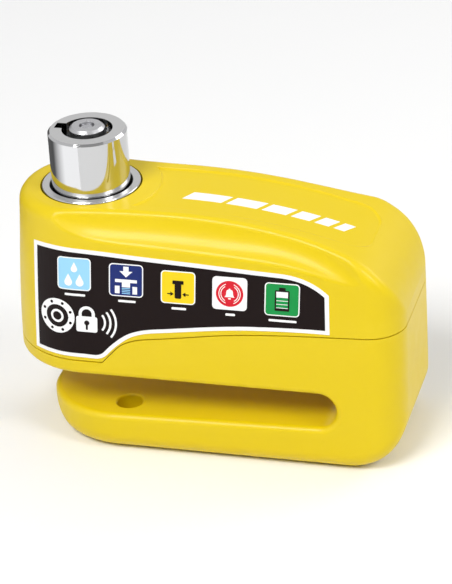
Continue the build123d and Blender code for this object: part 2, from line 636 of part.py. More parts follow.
pin_carrier.part.label = "pin_carrier"
export_step(pin_carrier.part, "parts/pin_carrier.step")

with BuildPart() as carrier_screws:
    with Locations((LOCK_X, 0)):
        with PolarLocations(7.75, 2, start_angle=45):
            upright(1.05, 1.3, CARRIER_BOTTOM + 0.1)
            upright(0.6, 6.2, CARRIER_BOTTOM + 0.2)
carrier_screws.part.label = "carrier_screws"
export_step(carrier_screws.part, "parts/carrier_screws.step")

with BuildPart() as locking_pin:
    with Locations((PIN_X, PIN_Y)):
        upright(LOCK_PIN_R, BARREL_BOTTOM - PIN_TIP - 0.05, PIN_TIP)
    chamfer(locking_pin.edges().group_by(Axis.Z)[0], length=0.7)
locking_pin.part.label = "locking_pin"
export_step(locking_pin.part, "parts/locking_pin.step")

with BuildPart() as pin_guide_bush:
    with Locations((PIN_X, PIN_Y)):
        upright(BUSH_OUT_R - 0.02, BUSH_TOP - SLOT_CEILING - 0.65, SLOT_CEILING + 0.65)
        upright(LOCK_PIN_R + 0.06, 20, SLOT_CEILING, Mode.SUBTRACT)
pin_guide_bush.part.label = "pin_guide_bush"
export_step(pin_guide_bush.part, "parts/pin_guide_bush.step")

with BuildPart() as return_spring:
    with BuildLine() as spring_coil:
        Helix(
            pitch=(CARRIER_BOTTOM - FLOOR_Z - 2 * SPRING_WIRE_R - 0.1) / 5,
            height=CARRIER_BOTTOM - FLOOR_Z - 2 * SPRING_WIRE_R - 0.1,
            radius=SPRING_R,
            center=(LOCK_X, 0, FLOOR_Z + SPRING_WIRE_R + 0.05),
        )
    with BuildSketch(Plane(origin=spring_coil.line @ 0, z_dir=spring_coil.line % 0)):
        Circle(SPRING_WIRE_R)
    sweep()
return_spring.part.label = "return_spring"
export_step(return_spring.part, "parts/return_spring.step")

# ------------------------------------------------------------- electronics
with BuildPart() as circuit_board:
    with Locations((BOARD_X, 0, BOARD_BOTTOM)):
        Box(BOARD_LENGTH, BOARD_WIDTH, BOARD_TOP - BOARD_BOTTOM, align=(Align.CENTER, Align.CENTER, Align.MIN))
    fillet(circuit_board.edges().filter_by(Axis.Z), radius=1.5)
    for side in (-1, 1):
        for x in POST_XS:
            with Locations((x, side * POST_Y)):
                upright(1.1, 5, BOARD_BOTTOM - 1, Mode.SUBTRACT)
circuit_board.part.label = "circuit_board"
export_step(circuit_board.part, "parts/circuit_board.step")

with BuildPart() as board_screws:
    for side in (-1, 1):
        for x in POST_XS:
            with Locations((x, side * POST_Y)):
                upright(1.7, 1.0, BOARD_BOTTOM - 1.0)
                upright(0.95, 4.4, BOARD_BOTTOM - 0.5)
board_screws.part.label = "board_screws"
export_step(board_screws.part, "parts/board_screws.step")

with BuildPart() as control_chip:
    with Locations((8.0, 4.5, BOARD_TOP + 0.15)):
        Box(10.0, 4.0, 1.5, align=(Align.CENTER, Align.CENTER, Align.MIN))
    with Locations((8.0, 4.5, BOARD_TOP)):
        for side in (-1, 1):
            with Locations((0, side * 2.5, 0)):
                with GridLocations(1.27, 1, 7, 1):
                    Box(0.45, 1.2, 0.5, align=(Align.CENTER, Align.CENTER, Align.MIN))
control_chip.part.label = "control_chip"
export_step(control_chip.part, "parts/control_chip.step")

with BuildPart() as boost_coil:
    with Locations((21.5, -4.5)):
        upright(3.6, 6.5, BOARD_TOP)
        upright(5.0, 4.3, BOARD_TOP + 1.1, Mode.SUBTRACT)
        upright(2.9, 4.6, BOARD_TOP + 1.0)
boost_coil.part.label = "boost_coil"
export_step(boost_coil.part, "parts/boost_coil.step")

with BuildPart() as capacitors:
    for x, y, radius, height in [(28.0, 4.5, 3.15, 7.0), (20.5, 6.0, 2.5, 6.0), (14.0, -7.5, 2.0, 5.0)]:
        with Locations((x, y)):
            upright(radius, height, BOARD_TOP)
    fillet(capacitors.edges().group_by(Axis.Z)[-1], radius=0.4)
capacitors.part.label = "capacitors"
export_step(capacitors.part, "parts/capacitors.step")

with BuildPart() as shock_sensor:
    with Locations(Location((4.0, -5.0, BOARD_TOP + 2.7), (0, 90, 0))):
        Cylinder(2.5, 11.0)
        Cylinder(1.9, 10.0, mode=Mode.SUBTRACT)
    for x in (0.5, 7.5):
        with Locations((x, -5.0, BOARD_TOP)):
            Box(0.6, 0.6, 0.6, align=(Align.CENTER, Align.CENTER, Align.MIN))
shock_sensor.part.label = "shock_sensor"
export_step(shock_sensor.part, "parts/shock_sensor.step")

with BuildPart() as sensor_spring:
    with BuildLine() as sensor_coil:
        Helix(
            pitch=1.0, height=8.0, radius=1.1,
            center=(0.0, -5.0, BOARD_TOP + 2.7), direction=(1, 0, 0),
        )
    with BuildSketch(Plane(origin=sensor_coil.line @ 0, z_dir=sensor_coil.line % 0)):
        Circle(0.15)
    sweep()
sensor_spring.part.label = "sensor_spring"
export_step(sensor_spring.part, "parts/sensor_spring.step")

# ------------------------------------------------------------------- siren
with BuildPart() as siren_gasket:
    with Locations((SIREN_X, 0)):
        upright(SIREN_R - 0.3, 0.4, FLOOR_Z)
        upright(6.5, 2, FLOOR_Z - 1, Mode.SUBTRACT)
siren_gasket.part.label = "siren_gasket"
export_step(siren_gasket.part, "parts/siren_gasket.step")

with BuildPart() as siren_case:
    with Locations((SIREN_X, 0)):
        upright(SIREN_R, 7.5, FLOOR_Z + 0.4)
        upright(SIREN_R - 0.9, 2.2, FLOOR_Z + 1.2, Mode.SUBTRACT)
        upright(SIREN_R - 1.6, 3.4, FLOOR_Z + 3.3, Mode.SUBTRACT)
        upright(2.5, 3, FLOOR_Z, Mode.SUBTRACT)
        with Locations((4.0, 0)):
            upright(1.4, 3, FLOOR_Z + 6, Mode.SUBTRACT)
siren_case.part.label = "siren_case"
export_step(siren_case.part, "parts/siren_case.step")

with BuildPart() as siren_diaphragm:
    with Locations((SIREN_X, 0)):
        upright(SIREN_R - 1.0, 0.3, FLOOR_Z + 2.9)
siren_diaphragm.part.label = "siren_diaphragm"
export_step(siren_diaphragm.part, "parts/siren_diaphragm.step")

with BuildPart() as piezo_element:
    with Locations((SIREN_X, 0)):
        upright(6.0, 0.25, FLOOR_Z + 3.2)
piezo_element.part.label = "piezo_element"
export_step(piezo_element.part, "parts/piezo_element.step")

# ----------------------------------------------------------------- battery
with BuildPart() as battery_tray:
    with Locations((sum(CELL_XS) / 2, 0, FLOOR_Z + 0.2)):
        Box(24.8, 20.8, 11.0, align=(Align.CENTER, Align.CENTER, Align.MIN))
        with Locations((0, 0, 9.0)):
            Box(22.6, 18.6, 6.0, align=(Align.CENTER, Align.CENTER, Align.MIN), mode=Mode.SUBTRACT)
    for x in CELL_XS:
        with Locations(Location((x, 0, CELL_Z), (90, 0, 0))):
            Cylinder(CELL_R + 0.15, 18.6, mode=Mode.SUBTRACT)
        with Locations((x, 0, CELL_Z)):
            Box(8.0, 18.6, 12, align=(Align.CENTER, Align.CENTER, Align.MIN), mode=Mode.SUBTRACT)
    with Locations((sum(CELL_XS) / 2, -8.85, CELL_Z)):
        Box(19.6, 0.9, 6.6, mode=Mode.SUBTRACT)
battery_tray.part.label = "battery_tray"
export_step(battery_tray.part, "parts/battery_tray.step")

with BuildPart() as button_cells:
    for x in CELL_XS:
        for step in (-1, 0, 1):
            with Locations(Location((x, step * (CELL_LENGTH + 0.04), CELL_Z), (90, 0, 0))):
                Cylinder(CELL_R, CELL_LENGTH - 0.6)
                Cylinder(CELL_R - 0.9, CELL_LENGTH)
button_cells.part.label = "button_cells"
export_step(button_cells.part, "parts/button_cells.step")

with BuildPart() as battery_contacts:
    with Locations((sum(CELL_XS) / 2, -8.85, CELL_Z)):
        Box(19.0, 0.4, 6.0)
    for x in CELL_XS:
        with Locations((x, 8.85, CELL_Z)):
            Box(6.0, 0.4, 6.0)
        with Locations((x, 8.85, CELL_Z + 3)):
            Box(1.6, 0.4, 4.5, align=(Align.CENTER, Align.CENTER, Align.MIN))
        for side in (-1, 1):
            with Locations((x, side * 8.43, CELL_Z)):
                Box(2.0, 0.54, 2.0)
battery_contacts.part.label = "battery_contacts"
export_step(battery_contacts.part, "parts/battery_contacts.step")

# ----------------------------------------------------------- arming switch
with BuildPart() as arming_switch:
    with Locations((LOCK_X, SWITCH_Y, FLOOR_Z)):
        Box(5.0, 5.0, SWITCH_TOP - FLOOR_Z, align=(Align.CENTER, Align.CENTER, Align.MIN))
    with Locations((LOCK_X, SWITCH_Y)):
        upright(0.87, 10, SWITCH_TOP - 3.0, Mode.SUBTRACT)
arming_switch.part.label = "arming_switch"
export_step(arming_switch.part, "parts/arming_switch.step")

with BuildPart() as switch_plunger:
    with Locations((LOCK_X, SWITCH_Y)):
        upright(0.8, 3.0, SWITCH_TOP - 1.8)
    fillet(switch_plunger.edges().group_by(Axis.Z)[-1], radius=0.3)
switch_plunger.part.label = "switch_plunger"
export_step(switch_plunger.part, "parts/switch_plunger.step")


# ------------------------------------------------------------------- leads
def lead(points):
    """Insulated wire along a smooth run of points, added to the current part."""
    with BuildLine() as run:
        Spline(*points)
    with BuildSketch(Plane(origin=run.line @ 0, z_dir=run.line % 0)) as section:
        Circle(0.4)
    sweep(section.sketch, path=run.wires()[0])


with BuildPart() as siren_leads:
    for side in (-0.7, 0.7):
        lead([
            (SIREN_X + 4.0, side, FLOOR_Z + 4.5),
            (SIREN_X + 4.0, side, FLOOR_Z + 8.5),
            (SIREN_X + 5.5, side * 3, FLOOR_Z + 13.0),
            (SIREN_X + 7.0, side * 3, BOARD_BOTTOM - 0.25),
        ])
siren_leads.part.label = "siren_leads"
export_step(siren_leads.part, "parts/siren_leads.step")

with BuildPart() as battery_leads:
    for x in CELL_XS:
        lead([
            (x, 9.6, CELL_Z + 7.2),
            (x, 10.6, CELL_Z + 8.4),
            (x, 11.6, BOARD_BOTTOM - 0.3),
        ])
battery_leads.part.label = "battery_leads"
export_step(battery_leads.part, "parts/battery_leads.step")

with BuildPart() as switch_leads:
    for side in (-0.7, 0.7):
        lead([
            (LOCK_X, SWITCH_Y + 2.9, FLOOR_Z + 1.6 + side),
            (LOCK_X + 3.0, 13.6, FLOOR_Z + 3.6 + side),
            (LOCK_X + 10.0, 13.4, FLOOR_Z + 11.5 + side),
            (LOCK_X + 18.0, 6.2, FLOOR_Z + 15.2 + side),
            (BOARD_X - BOARD_LENGTH / 2 + 3.0, 4.0, BOARD_BOTTOM - 1.2 + side),
        ])
switch_leads.part.label = "switch_leads"
export_step(switch_leads.part, "parts/switch_leads.step")

# ------------------------------------------------------------------- label
with BuildPart() as front_label:
    add(label_form.part)
    add(case_form.part, mode=Mode.SUBTRACT)
    with BuildSketch(Plane.XZ):
        with BuildLine():
            Spline(label_point(LABEL_LEFT_TOP), *[label_point(point) for point in LABEL_TOP])
            Spline(label_point(LABEL_TOP[-1]), *[label_point(point) for point in LABEL_NOTCH])
            Line(label_point(LABEL_NOTCH[-1]), label_point(LABEL_RIGHT_BOTTOM))
            Spline(label_point(LABEL_RIGHT_BOTTOM), *[label_point(point) for point in LABEL_BOTTOM])
            Spline(label_point(LABEL_BOTTOM[-1]), *[label_point(point) for point in LABEL_LEFT])
            Line(label_point(LABEL_LEFT[-1]), label_point(LABEL_LEFT_TOP))
        make_face()
    extrude(amount=30, mode=Mode.INTERSECT)
front_label.part.label = "front_label"
export_step(front_label.part, "parts/front_label.step")
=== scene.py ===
"""Looks of the disc brake lock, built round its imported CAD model. Metres, +Z up, label side -Y."""

import json
import math

import bmesh
import bpy
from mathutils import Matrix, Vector
from mathutils.bvhtree import BVHTree


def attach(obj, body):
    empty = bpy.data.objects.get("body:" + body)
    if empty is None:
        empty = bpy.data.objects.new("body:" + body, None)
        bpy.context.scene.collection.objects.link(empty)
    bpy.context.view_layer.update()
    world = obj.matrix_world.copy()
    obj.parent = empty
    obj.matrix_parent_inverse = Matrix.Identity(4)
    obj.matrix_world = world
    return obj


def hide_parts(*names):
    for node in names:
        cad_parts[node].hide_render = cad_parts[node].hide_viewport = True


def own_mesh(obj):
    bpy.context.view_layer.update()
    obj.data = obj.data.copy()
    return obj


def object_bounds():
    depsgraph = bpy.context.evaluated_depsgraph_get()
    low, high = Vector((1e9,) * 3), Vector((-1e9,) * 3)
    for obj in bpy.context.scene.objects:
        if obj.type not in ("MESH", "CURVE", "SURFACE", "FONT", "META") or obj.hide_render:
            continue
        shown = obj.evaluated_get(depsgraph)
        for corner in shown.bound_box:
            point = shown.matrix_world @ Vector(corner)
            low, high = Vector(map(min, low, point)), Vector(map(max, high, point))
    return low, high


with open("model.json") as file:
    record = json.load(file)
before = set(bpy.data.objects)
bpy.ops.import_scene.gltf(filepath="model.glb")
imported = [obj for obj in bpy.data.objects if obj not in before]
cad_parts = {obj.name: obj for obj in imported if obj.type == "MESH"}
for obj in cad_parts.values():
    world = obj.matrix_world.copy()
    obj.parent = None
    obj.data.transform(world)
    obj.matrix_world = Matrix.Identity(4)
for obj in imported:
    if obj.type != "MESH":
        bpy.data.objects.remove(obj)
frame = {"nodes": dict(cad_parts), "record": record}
cad_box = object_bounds()
nodes = frame["nodes"]
MM = 0.001
CASE = "lock_case"
LOCK_X = -27.95  # the key cylinder's axis, in mm


# ---------------------------------------------------------------- camera

CAMERA_AZIMUTH = math.radians(16.3)
CAMERA_ELEVATION = math.radians(28.45)
CAMERA_ROLL = math.radians(3.36)
CAMERA_DISTANCE = 636.5 * MM
CAMERA_TARGET = Vector((2.37, 0.0, 33.63)) * MM
LENS_MM = 171.1
SENSOR_MM = 36.0


def place_camera():
    """A long lens looking at the target from the photograph's angle, leaning by the roll."""
    a, e = CAMERA_AZIMUTH, CAMERA_ELEVATION
    back = Vector((math.sin(a) * math.cos(e), -math.cos(a) * math.cos(e), math.sin(e)))
    right = Vector((math.cos(a), math.sin(a), 0.0))
    up = back.cross(right)
    turn_cos, turn_sin = math.cos(CAMERA_ROLL), math.sin(CAMERA_ROLL)
    side = right * turn_cos - up * turn_sin
    top = right * turn_sin + up * turn_cos
    data = bpy.data.cameras.new("camera")
    data.lens = LENS_MM
    data.sensor_width = SENSOR_MM
    data.clip_start = 0.05
    data.clip_end = 20.0
    camera = bpy.data.objects.new("camera", data)
    bpy.context.scene.collection.objects.link(camera)
    matrix = camera.matrix_world.copy()
    for row in range(3):
        matrix[row][0] = side[row]
        matrix[row][1] = top[row]
        matrix[row][2] = back[row]
        matrix[row][3] = CAMERA_TARGET[row] + back[row] * CAMERA_DISTANCE
    camera.matrix_world = matrix
    bpy.context.scene.camera = camera


place_camera()
bpy.context.scene.view_settings.view_transform = "Standard"


# ---------------------------------------------------------------- material tools


EDGE_STARTS, EDGE_SHARP = 0.505, 0.56  # pointiness where the lighter edges begin, and where they are complete


class Surface:
    """A Principled material whose parts are added one call at a time."""

    def __init__(self, name, colour, roughness, metallic=0.0):
        self.material = bpy.data.materials.new(name)
        self.material.use_nodes = True
        self.tree = self.material.node_tree
        self.shader = self.tree.nodes["Principled BSDF"]
        self.shader.inputs["Base Color"].default_value = (*colour, 1.0)
        self.shader.inputs["Roughness"].default_value = roughness
        self.shader.inputs["Metallic"].default_value = metallic
        self.place = self.node("ShaderNodeTexCoord").outputs["Object"]
        self.height = None

    def node(self, kind, **settings):
        made = self.tree.nodes.new(kind)
        for key, value in settings.items():
            setattr(made, key, value)
        return made

    def link(self, start, end):
        self.tree.links.new(start, end)

    def product(self, first, second, clamp=False):
        """One factor times another factor or a plain number."""
        made = self.node("ShaderNodeMath", operation="MULTIPLY", use_clamp=clamp)
        self.link(first, made.inputs[0])
        if isinstance(second, float):
            made.inputs[1].default_value = second
        else:
            self.link(second, made.inputs[1])
        return made.outputs[0]

    def spread(self, value, low, high, to_low, to_high):
        """Maps a factor from one range to another, and holds it within that range."""
        made = self.node("ShaderNodeMapRange")
        self.link(value, made.inputs["Value"])
        ends = {"From Min": low, "From Max": high, "To Min": to_low, "To Max": to_high}
        for key, number in ends.items():
            made.inputs[key].default_value = number
        return made.outputs["Result"]

    def noise(self, cell_mm, detail, stretch=(1.0, 1.0, 1.0)):
        """Noise whose blobs are about cell_mm across, pulled along an axis by a small stretch value."""
        mapping = self.node("ShaderNodeMapping")
        self.link(self.place, mapping.inputs["Vector"])
        mapping.inputs["Scale"].default_value = stretch
        made = self.node("ShaderNodeTexNoise")
        self.link(mapping.outputs["Vector"], made.inputs["Vector"])
        made.inputs["Scale"].default_value = 1.0 / (cell_mm * MM)
        made.inputs["Detail"].default_value = detail
        return made.outputs["Fac"]

    def blend(self, kind, socket, factor, other):
        """Blends what a shader socket has so far towards another value by a factor."""
        mix = self.node("ShaderNodeMix", data_type=kind)
        target = self.shader.inputs[socket]
        if target.is_linked:
            self.link(target.links[0].from_socket, mix.inputs["A"])
        else:
            mix.inputs["A"].default_value = target.default_value
        mix.inputs["B"].default_value = other
        self.link(factor, mix.inputs["Factor"])
        self.link(mix.outputs["Result"], target)
        return self

    def tint(self, factor, other):
        return self.blend("RGBA", "Base Color", factor, (*other, 1.0))

    def roughen(self, factor, other):
        return self.blend("FLOAT", "Roughness", factor, other)

    def relief(self, height, depth_mm, strength):
        """Adds a bump of that depth on top of the bumps so far."""
        bump = self.node("ShaderNodeBump")
        bump.inputs["Strength"].default_value = strength
        bump.inputs["Distance"].default_value = depth_mm * MM
        self.link(height, bump.inputs["Height"])
        if self.height is not None:
            self.link(self.height, bump.inputs["Normal"])
        self.height = bump.outputs["Normal"]
        self.link(self.height, self.shader.inputs["Normal"])
        return self

    def coat(self, weight, roughness):
        self.shader.inputs["Coat Weight"].default_value = weight
        self.shader.inputs["Coat Roughness"].default_value = roughness
        return self

    def specular(self, level):
        self.shader.inputs["Specular IOR Level"].default_value = level
        return self

    def edge_wear_and_highlight(self, amount, other):
        """Lightens or dulls the sharp outer edges: rubbed edges on metal and plastic, and a painted edge
        highlight on the yellow paint.
        """
        edge = self.node("ShaderNodeNewGeometry").outputs["Pointiness"]
        grain = self.noise(0.6, 4.0)
        sharp = self.spread(edge, EDGE_STARTS, EDGE_SHARP, 0.0, amount)
        return self.tint(self.product(sharp, grain, clamp=True), other)


def shade(colour, factor):
    """The same colour, darker or lighter."""
    return tuple(min(1.0, channel * factor) for channel in colour)


def yellow_paint():
    """Satin paint with a thin clear coat, slightly uneven in colour and gloss, with a painted highlight
    on its sharp edges.
    """
    body = (0.735, 0.540, 0.0012)
    made = Surface("yellow_paint", body, 0.44)
    broad = made.noise(26.0, 2.0)
    made.tint(made.spread(broad, 0.35, 0.7, 0.0, 0.25), (0.765, 0.570, 0.003))
    fine = made.noise(0.5, 3.0)
    made.tint(made.spread(fine, 0.35, 0.75, 0.0, 0.12), shade(body, 0.96))
    # painted highlight: the sharp edges of the clean paint are lightened towards a paler yellow
    made.edge_wear_and_highlight(0.22, (0.82, 0.64, 0.03))
    made.roughen(made.spread(made.noise(5.0, 4.0), 0.35, 0.7, 0.0, 1.0), 0.37)
    made.relief(made.noise(1.3, 2.0), 0.007, 0.5)
    made.relief(fine, 0.0012, 0.4)
    made.specular(0.22)
    made.coat(0.12, 0.14)
    return made.material


def chrome():
    """Plated steel: mirror walls with faint polishing lines, and a satin turned top face."""
    plate = (0.57, 0.572, 0.575)
    made = Surface("chrome", plate, 0.05, 1.0)
    facing = made.node("ShaderNodeNewGeometry").outputs["Normal"]
    axes = made.node("ShaderNodeSeparateXYZ")
    made.link(facing, axes.inputs[0])
    flat_top = made.spread(axes.outputs["Z"], 0.90, 0.97, 0.0, 1.0)
    made.tint(flat_top, (0.62, 0.62, 0.615))
    made.roughen(made.spread(made.noise(2.5, 5.0), 0.4, 0.75, 0.0, 1.0), 0.10)
    made.roughen(flat_top, 0.33)
    centre = made.node("ShaderNodeMapping")
    centre.inputs["Location"].default_value = (-LOCK_X * MM, 0.0, 0.0)
    made.link(made.place, centre.inputs["Vector"])
    rings = made.node("ShaderNodeTexWave", wave_type="RINGS", rings_direction="Z")
    rings.inputs["Scale"].default_value = 1500.0
    rings.inputs["Distortion"].default_value = 1.2
    rings.inputs["Detail"].default_value = 3.0
    made.link(centre.outputs["Vector"], rings.inputs["Vector"])
    turned = made.product(rings.outputs["Fac"], flat_top)
    made.relief(turned, 0.004, 0.5)
    made.relief(made.noise(0.15, 3.0, (1.0, 1.0, 0.02)), 0.0006, 0.3)
    return made.material


def metal(name, colour, roughness, grain_mm, stretch=(1.0, 1.0, 1.0), depth=0.003):
    """Bare or plated metal with a worked grain and duller patches."""
    made = Surface(name, colour, roughness, 1.0)
    made.tint(made.spread(made.noise(3.0, 4.0), 0.4, 0.75, 0.0, 0.35), shade(colour, 0.78))
    made.edge_wear_and_highlight(0.3, shade(colour, 1.25))
    made.roughen(made.spread(made.noise(1.5, 5.0), 0.35, 0.7, 0.0, 1.0), min(1.0, roughness * 1.5))
    made.relief(made.noise(grain_mm, 4.0, stretch), depth, 0.6)
    return made.material


def moulded(name, colour, roughness, grain_mm=0.25, depth=0.006, coat=0.0):
    """Plastic, rubber or lacquer with a fine moulded grain."""
    made = Surface(name, colour, roughness)
    made.tint(made.spread(made.noise(4.0, 3.0), 0.35, 0.7, 0.0, 0.3), shade(colour, 1.3))
    made.edge_wear_and_highlight(0.25, shade(colour, 1.8))
    made.roughen(made.spread(made.noise(1.2, 4.0), 0.35, 0.7, 0.0, 1.0), min(1.0, roughness * 1.25))
    made.relief(made.noise(grain_mm, 2.0), depth, 0.7)
    if coat:
        made.coat(coat, 0.12)
    return made.material


def circuit_green():
    """Solder mask with darker copper runs under it."""
    made = Surface("board_green", (0.010, 0.115, 0.045), 0.32)
    bricks = made.node("ShaderNodeTexBrick")
    bricks.inputs["Scale"].default_value = 260.0
    bricks.inputs["Mortar Size"].default_value = 0.012
    bricks.inputs["Color1"].default_value = (0.0, 0.0, 0.0, 1.0)
    bricks.inputs["Color2"].default_value = (0.15, 0.15, 0.15, 1.0)
    bricks.inputs["Mortar"].default_value = (1.0, 1.0, 1.0, 1.0)
    made.link(made.place, bricks.inputs["Vector"])
    made.tint(made.product(bricks.outputs["Color"], 0.6), (0.03, 0.26, 0.09))
    made.relief(bricks.outputs["Color"], 0.03, 0.5)
    made.coat(0.6, 0.08)
    return made.material


def printed(name, colour, roughness=0.32, gloss=0.2, coat=0.08):
    """Ink on vinyl film under a clear coat, with a faint dot grain."""
    made = Surface(name, colour, roughness)
    dots = made.node("ShaderNodeTexVoronoi")
    dots.inputs["Scale"].default_value = 6500.0
    made.link(made.place, dots.inputs["Vector"])
    grain = made.spread(dots.outputs["Distance"], 0.1, 0.7, 0.0, 0.12)
    made.tint(grain, shade(colour, 0.82))
    made.tint(made.spread(made.noise(7.0, 2.0), 0.4, 0.75, 0.0, 0.12), shade(colour, 1.15))
    made.relief(made.noise(0.8, 2.0), 0.004, 0.35)
    made.specular(gloss)
    made.coat(coat, 0.14)
    return made.material


ALONG_Z = (1.0, 1.0, 0.05)  # draws a worked grain out into upright streaks

SLOTS = {
    "yellow_paint": yellow_paint(),
    "label_film": printed("label_film", (0.93, 0.93, 0.92)),
    "chrome": chrome(),
    "satin_steel": metal("satin_steel", (0.52, 0.52, 0.53), 0.26, 0.12, ALONG_Z),
    "dark_rubber": moulded("dark_rubber", (0.018, 0.018, 0.020), 0.62, 0.2, 0.012),
    "screw_steel": metal("screw_steel", (0.30, 0.30, 0.31), 0.34, 0.3),
    "hardened_steel": metal("hardened_steel", (0.50, 0.50, 0.52), 0.20, 0.1, (1.0, 1.0, 0.08), 0.002),
    "brass": metal("brass", (0.62, 0.41, 0.13), 0.28, 0.2),
    "cast_zinc": metal("cast_zinc", (0.42, 0.42, 0.43), 0.45, 0.6, depth=0.012),
    "spring_steel": metal("spring_steel", (0.34, 0.34, 0.36), 0.24, 0.15),
    "board_green": circuit_green(),
    "chip_black": moulded("chip_black", (0.016, 0.016, 0.017), 0.55),
    "black_plastic": moulded("black_plastic", (0.022, 0.022, 0.025), 0.48, 0.35, 0.010),
    "ferrite": moulded("ferrite", (0.045, 0.043, 0.045), 0.70, 0.2, 0.02),
    "capacitor_sleeve": moulded("capacitor_sleeve", (0.02, 0.035, 0.16), 0.22, 0.8, 0.004, 0.5),
    "ceramic_white": moulded("ceramic_white", (0.74, 0.73, 0.68), 0.42),
    "cell_steel": metal("cell_steel", (0.66, 0.66, 0.66), 0.14, 0.3, depth=0.001),
    "contact_nickel": metal("contact_nickel", (0.62, 0.59, 0.54), 0.22, 0.2),
    "lead_red": moulded("lead_red", (0.42, 0.012, 0.012), 0.38),
    "lead_black": moulded("lead_black", (0.014, 0.014, 0.014), 0.40),
}

for entry in frame["record"]["subparts"]:
    for material_slot in nodes[entry["node"]].material_slots:
        material_slot.material = SLOTS[entry["material_slot"]]

INKS = {
    "black": printed("ink_black", (0.0085, 0.0035, 0.0032), 0.36, 0.10, 0.03),
    "white": printed("ink_white", (0.93, 0.93, 0.92)),
    "sky": printed("ink_sky", (0.31, 0.64, 0.90)),
    "blue": printed("ink_blue", (0.005, 0.018, 0.15)),
    "yellow": printed("ink_yellow", (0.88, 0.63, 0.004)),
    "red": printed("ink_red", (0.66, 0.006, 0.020)),
    "green": printed("ink_green", (0.002, 0.28, 0.055)),
}


# ---------------------------------------------------------------- flat shapes, in mm


def circle(x, z, radius, steps=28):
    turn = 2.0 * math.pi / steps
    return [(x + radius * math.cos(turn * i), z + radius * math.sin(turn * i)) for i in range(steps)]


def arc_band(x, z, radius, width, start, end, steps=20):
    """A curved strip about a centre, between two angles in degrees."""
    angles = [math.radians(start + (end - start) * i / steps) for i in range(steps + 1)]
    far, near = radius + width / 2, radius - width / 2
    outer = [(x + far * math.cos(a), z + far * math.sin(a)) for a in angles]
    inner = [(x + near * math.cos(a), z + near * math.sin(a)) for a in angles]
    return outer + inner[::-1]


def rounded(x, z, width, height, corner=0.0, steps=6):
    """A rectangle about its centre with rounded corners."""
    if corner <= 0.0:
        corners = ((-1, -1), (1, -1), (1, 1), (-1, 1))
        return [(x + sx * width / 2, z + sz * height / 2) for sx, sz in corners]
    points = []
    for quarter, (sx, sz) in enumerate(((1, 1), (-1, 1), (-1, -1), (1, -1))):
        cx = x + sx * (width / 2 - corner)
        cz = z + sz * (height / 2 - corner)
        for i in range(steps + 1):
            a = math.radians(90.0 * (quarter + i / steps))
            points.append((cx + corner * math.cos(a), cz + corner * math.sin(a)))
    return points


def drop(x, z, width, height, steps=20):
    """A water drop with its point up."""
    radius = width / 2
    low = z - height / 2 + radius
    tip = z + height / 2
    reach = tip - low
    start = math.asin(radius / reach)
    points = [(x, tip)]
    for i in range(steps + 1):
        a = math.pi / 2 + (math.pi / 2 - start) + (math.pi + 2 * start) * i / steps
        points.append((x + radius * math.cos(a), low + radius * math.sin(a)))
    return points


def mirrored(half):
    """Closes a right-hand outline, listed from top to bottom about x = 0, with its mirror image."""
    return half + [(-x, z) for x, z in reversed(half) if abs(x) > 1e-6]


def shifted(points, x, z, scale=1.0):
    return [(x + px * scale, z + pz * scale) for px, pz in points]


def bell(x, z, scale=1.0):
    half = [(0.0, 1.70), (0.22, 1.62), (0.30, 1.42)]
    for i in range(7):
        a = math.radians(90.0 - 90.0 * i / 6)
        half.append((0.25 + 0.80 * math.cos(a), 0.55 + 0.80 * math.sin(a)))
    half += [(1.12, -0.35), (1.30, -0.85), (1.62, -1.20), (0.0, -1.20)]
    return shifted(mirrored(half), x, z, scale)


# ---------------------------------------------------------------- printing on a CAD face


START_Y, START_Z = -60.0, 120.0  # mm, outside the lock, where a film's points start from


def signed_area(points):
    """The area inside an outline, positive when it runs anticlockwise."""
    pairs = zip(points, points[1:] + points[:1])
    return sum(a[0] * b[1] - b[0] * a[1] for a, b in pairs) / 2


def cut_in_cells(mesh, cell):
    """Cuts flat shapes along straight lines a cell's width and height apart, so that they can bend."""
    for along, step in ((0, cell[0]), (2, cell[1])):
        direction = Vector((0.0, 0.0, 0.0))
        direction[along] = 1.0
        low = min(v.co[along] for v in mesh.verts)
        high = max(v.co[along] for v in mesh.verts)
        cut = math.floor(low / step) * step + step
        while cut < high:
            everything = mesh.verts[:] + mesh.edges[:] + mesh.faces[:]
            bmesh.ops.bisect_plane(
                mesh, geom=everything, dist=1e-5, plane_co=direction * cut, plane_no=direction
            )
            cut += step
    bmesh.ops.triangulate(mesh, faces=mesh.faces[:])


def drop_on_face(mesh, face, level, thickness, axis):
    """Moves flat points along an axis onto a CAD node, and returns where each one's underside lies."""
    tree = BVHTree.FromPolygons(
        [v.co.copy() for v in nodes[face].data.vertices],
        [tuple(p.vertices) for p in nodes[face].data.polygons],
    )
    inner = {}
    for vert in mesh.verts[:]:
        flat = vert.co.copy()
        if axis == "Y":
            start, down = Vector((flat.x, START_Y, flat.z)) * MM, Vector((0.0, 1.0, 0.0))
        else:
            start, down = Vector((flat.x, flat.z, START_Z)) * MM, Vector((0.0, 0.0, -1.0))
        hit, _, _, _ = tree.ray_cast(start, down)
        if hit is None:
            raise RuntimeError(f"a film runs off {face} at {flat.x:.2f}, {flat.z:.2f}")
        vert.co = hit - down * level * MM
        inner[vert] = hit - down * (level - thickness) * MM
    return inner


def close_underside(mesh, inner):
    """Gives an open sheet its underside and its rim."""
    top_faces = mesh.faces[:]
    rim = [edge for edge in mesh.edges if edge.is_boundary]
    below = {vert: mesh.verts.new(place) for vert, place in inner.items()}
    for top_face in top_faces:
        mesh.faces.new([below[v] for v in reversed(top_face.verts)])
    for edge in rim:
        first, second = edge.verts
        mesh.faces.new((first, second, below[second], below[first]))
    bmesh.ops.recalc_face_normals(mesh, faces=mesh.faces[:])


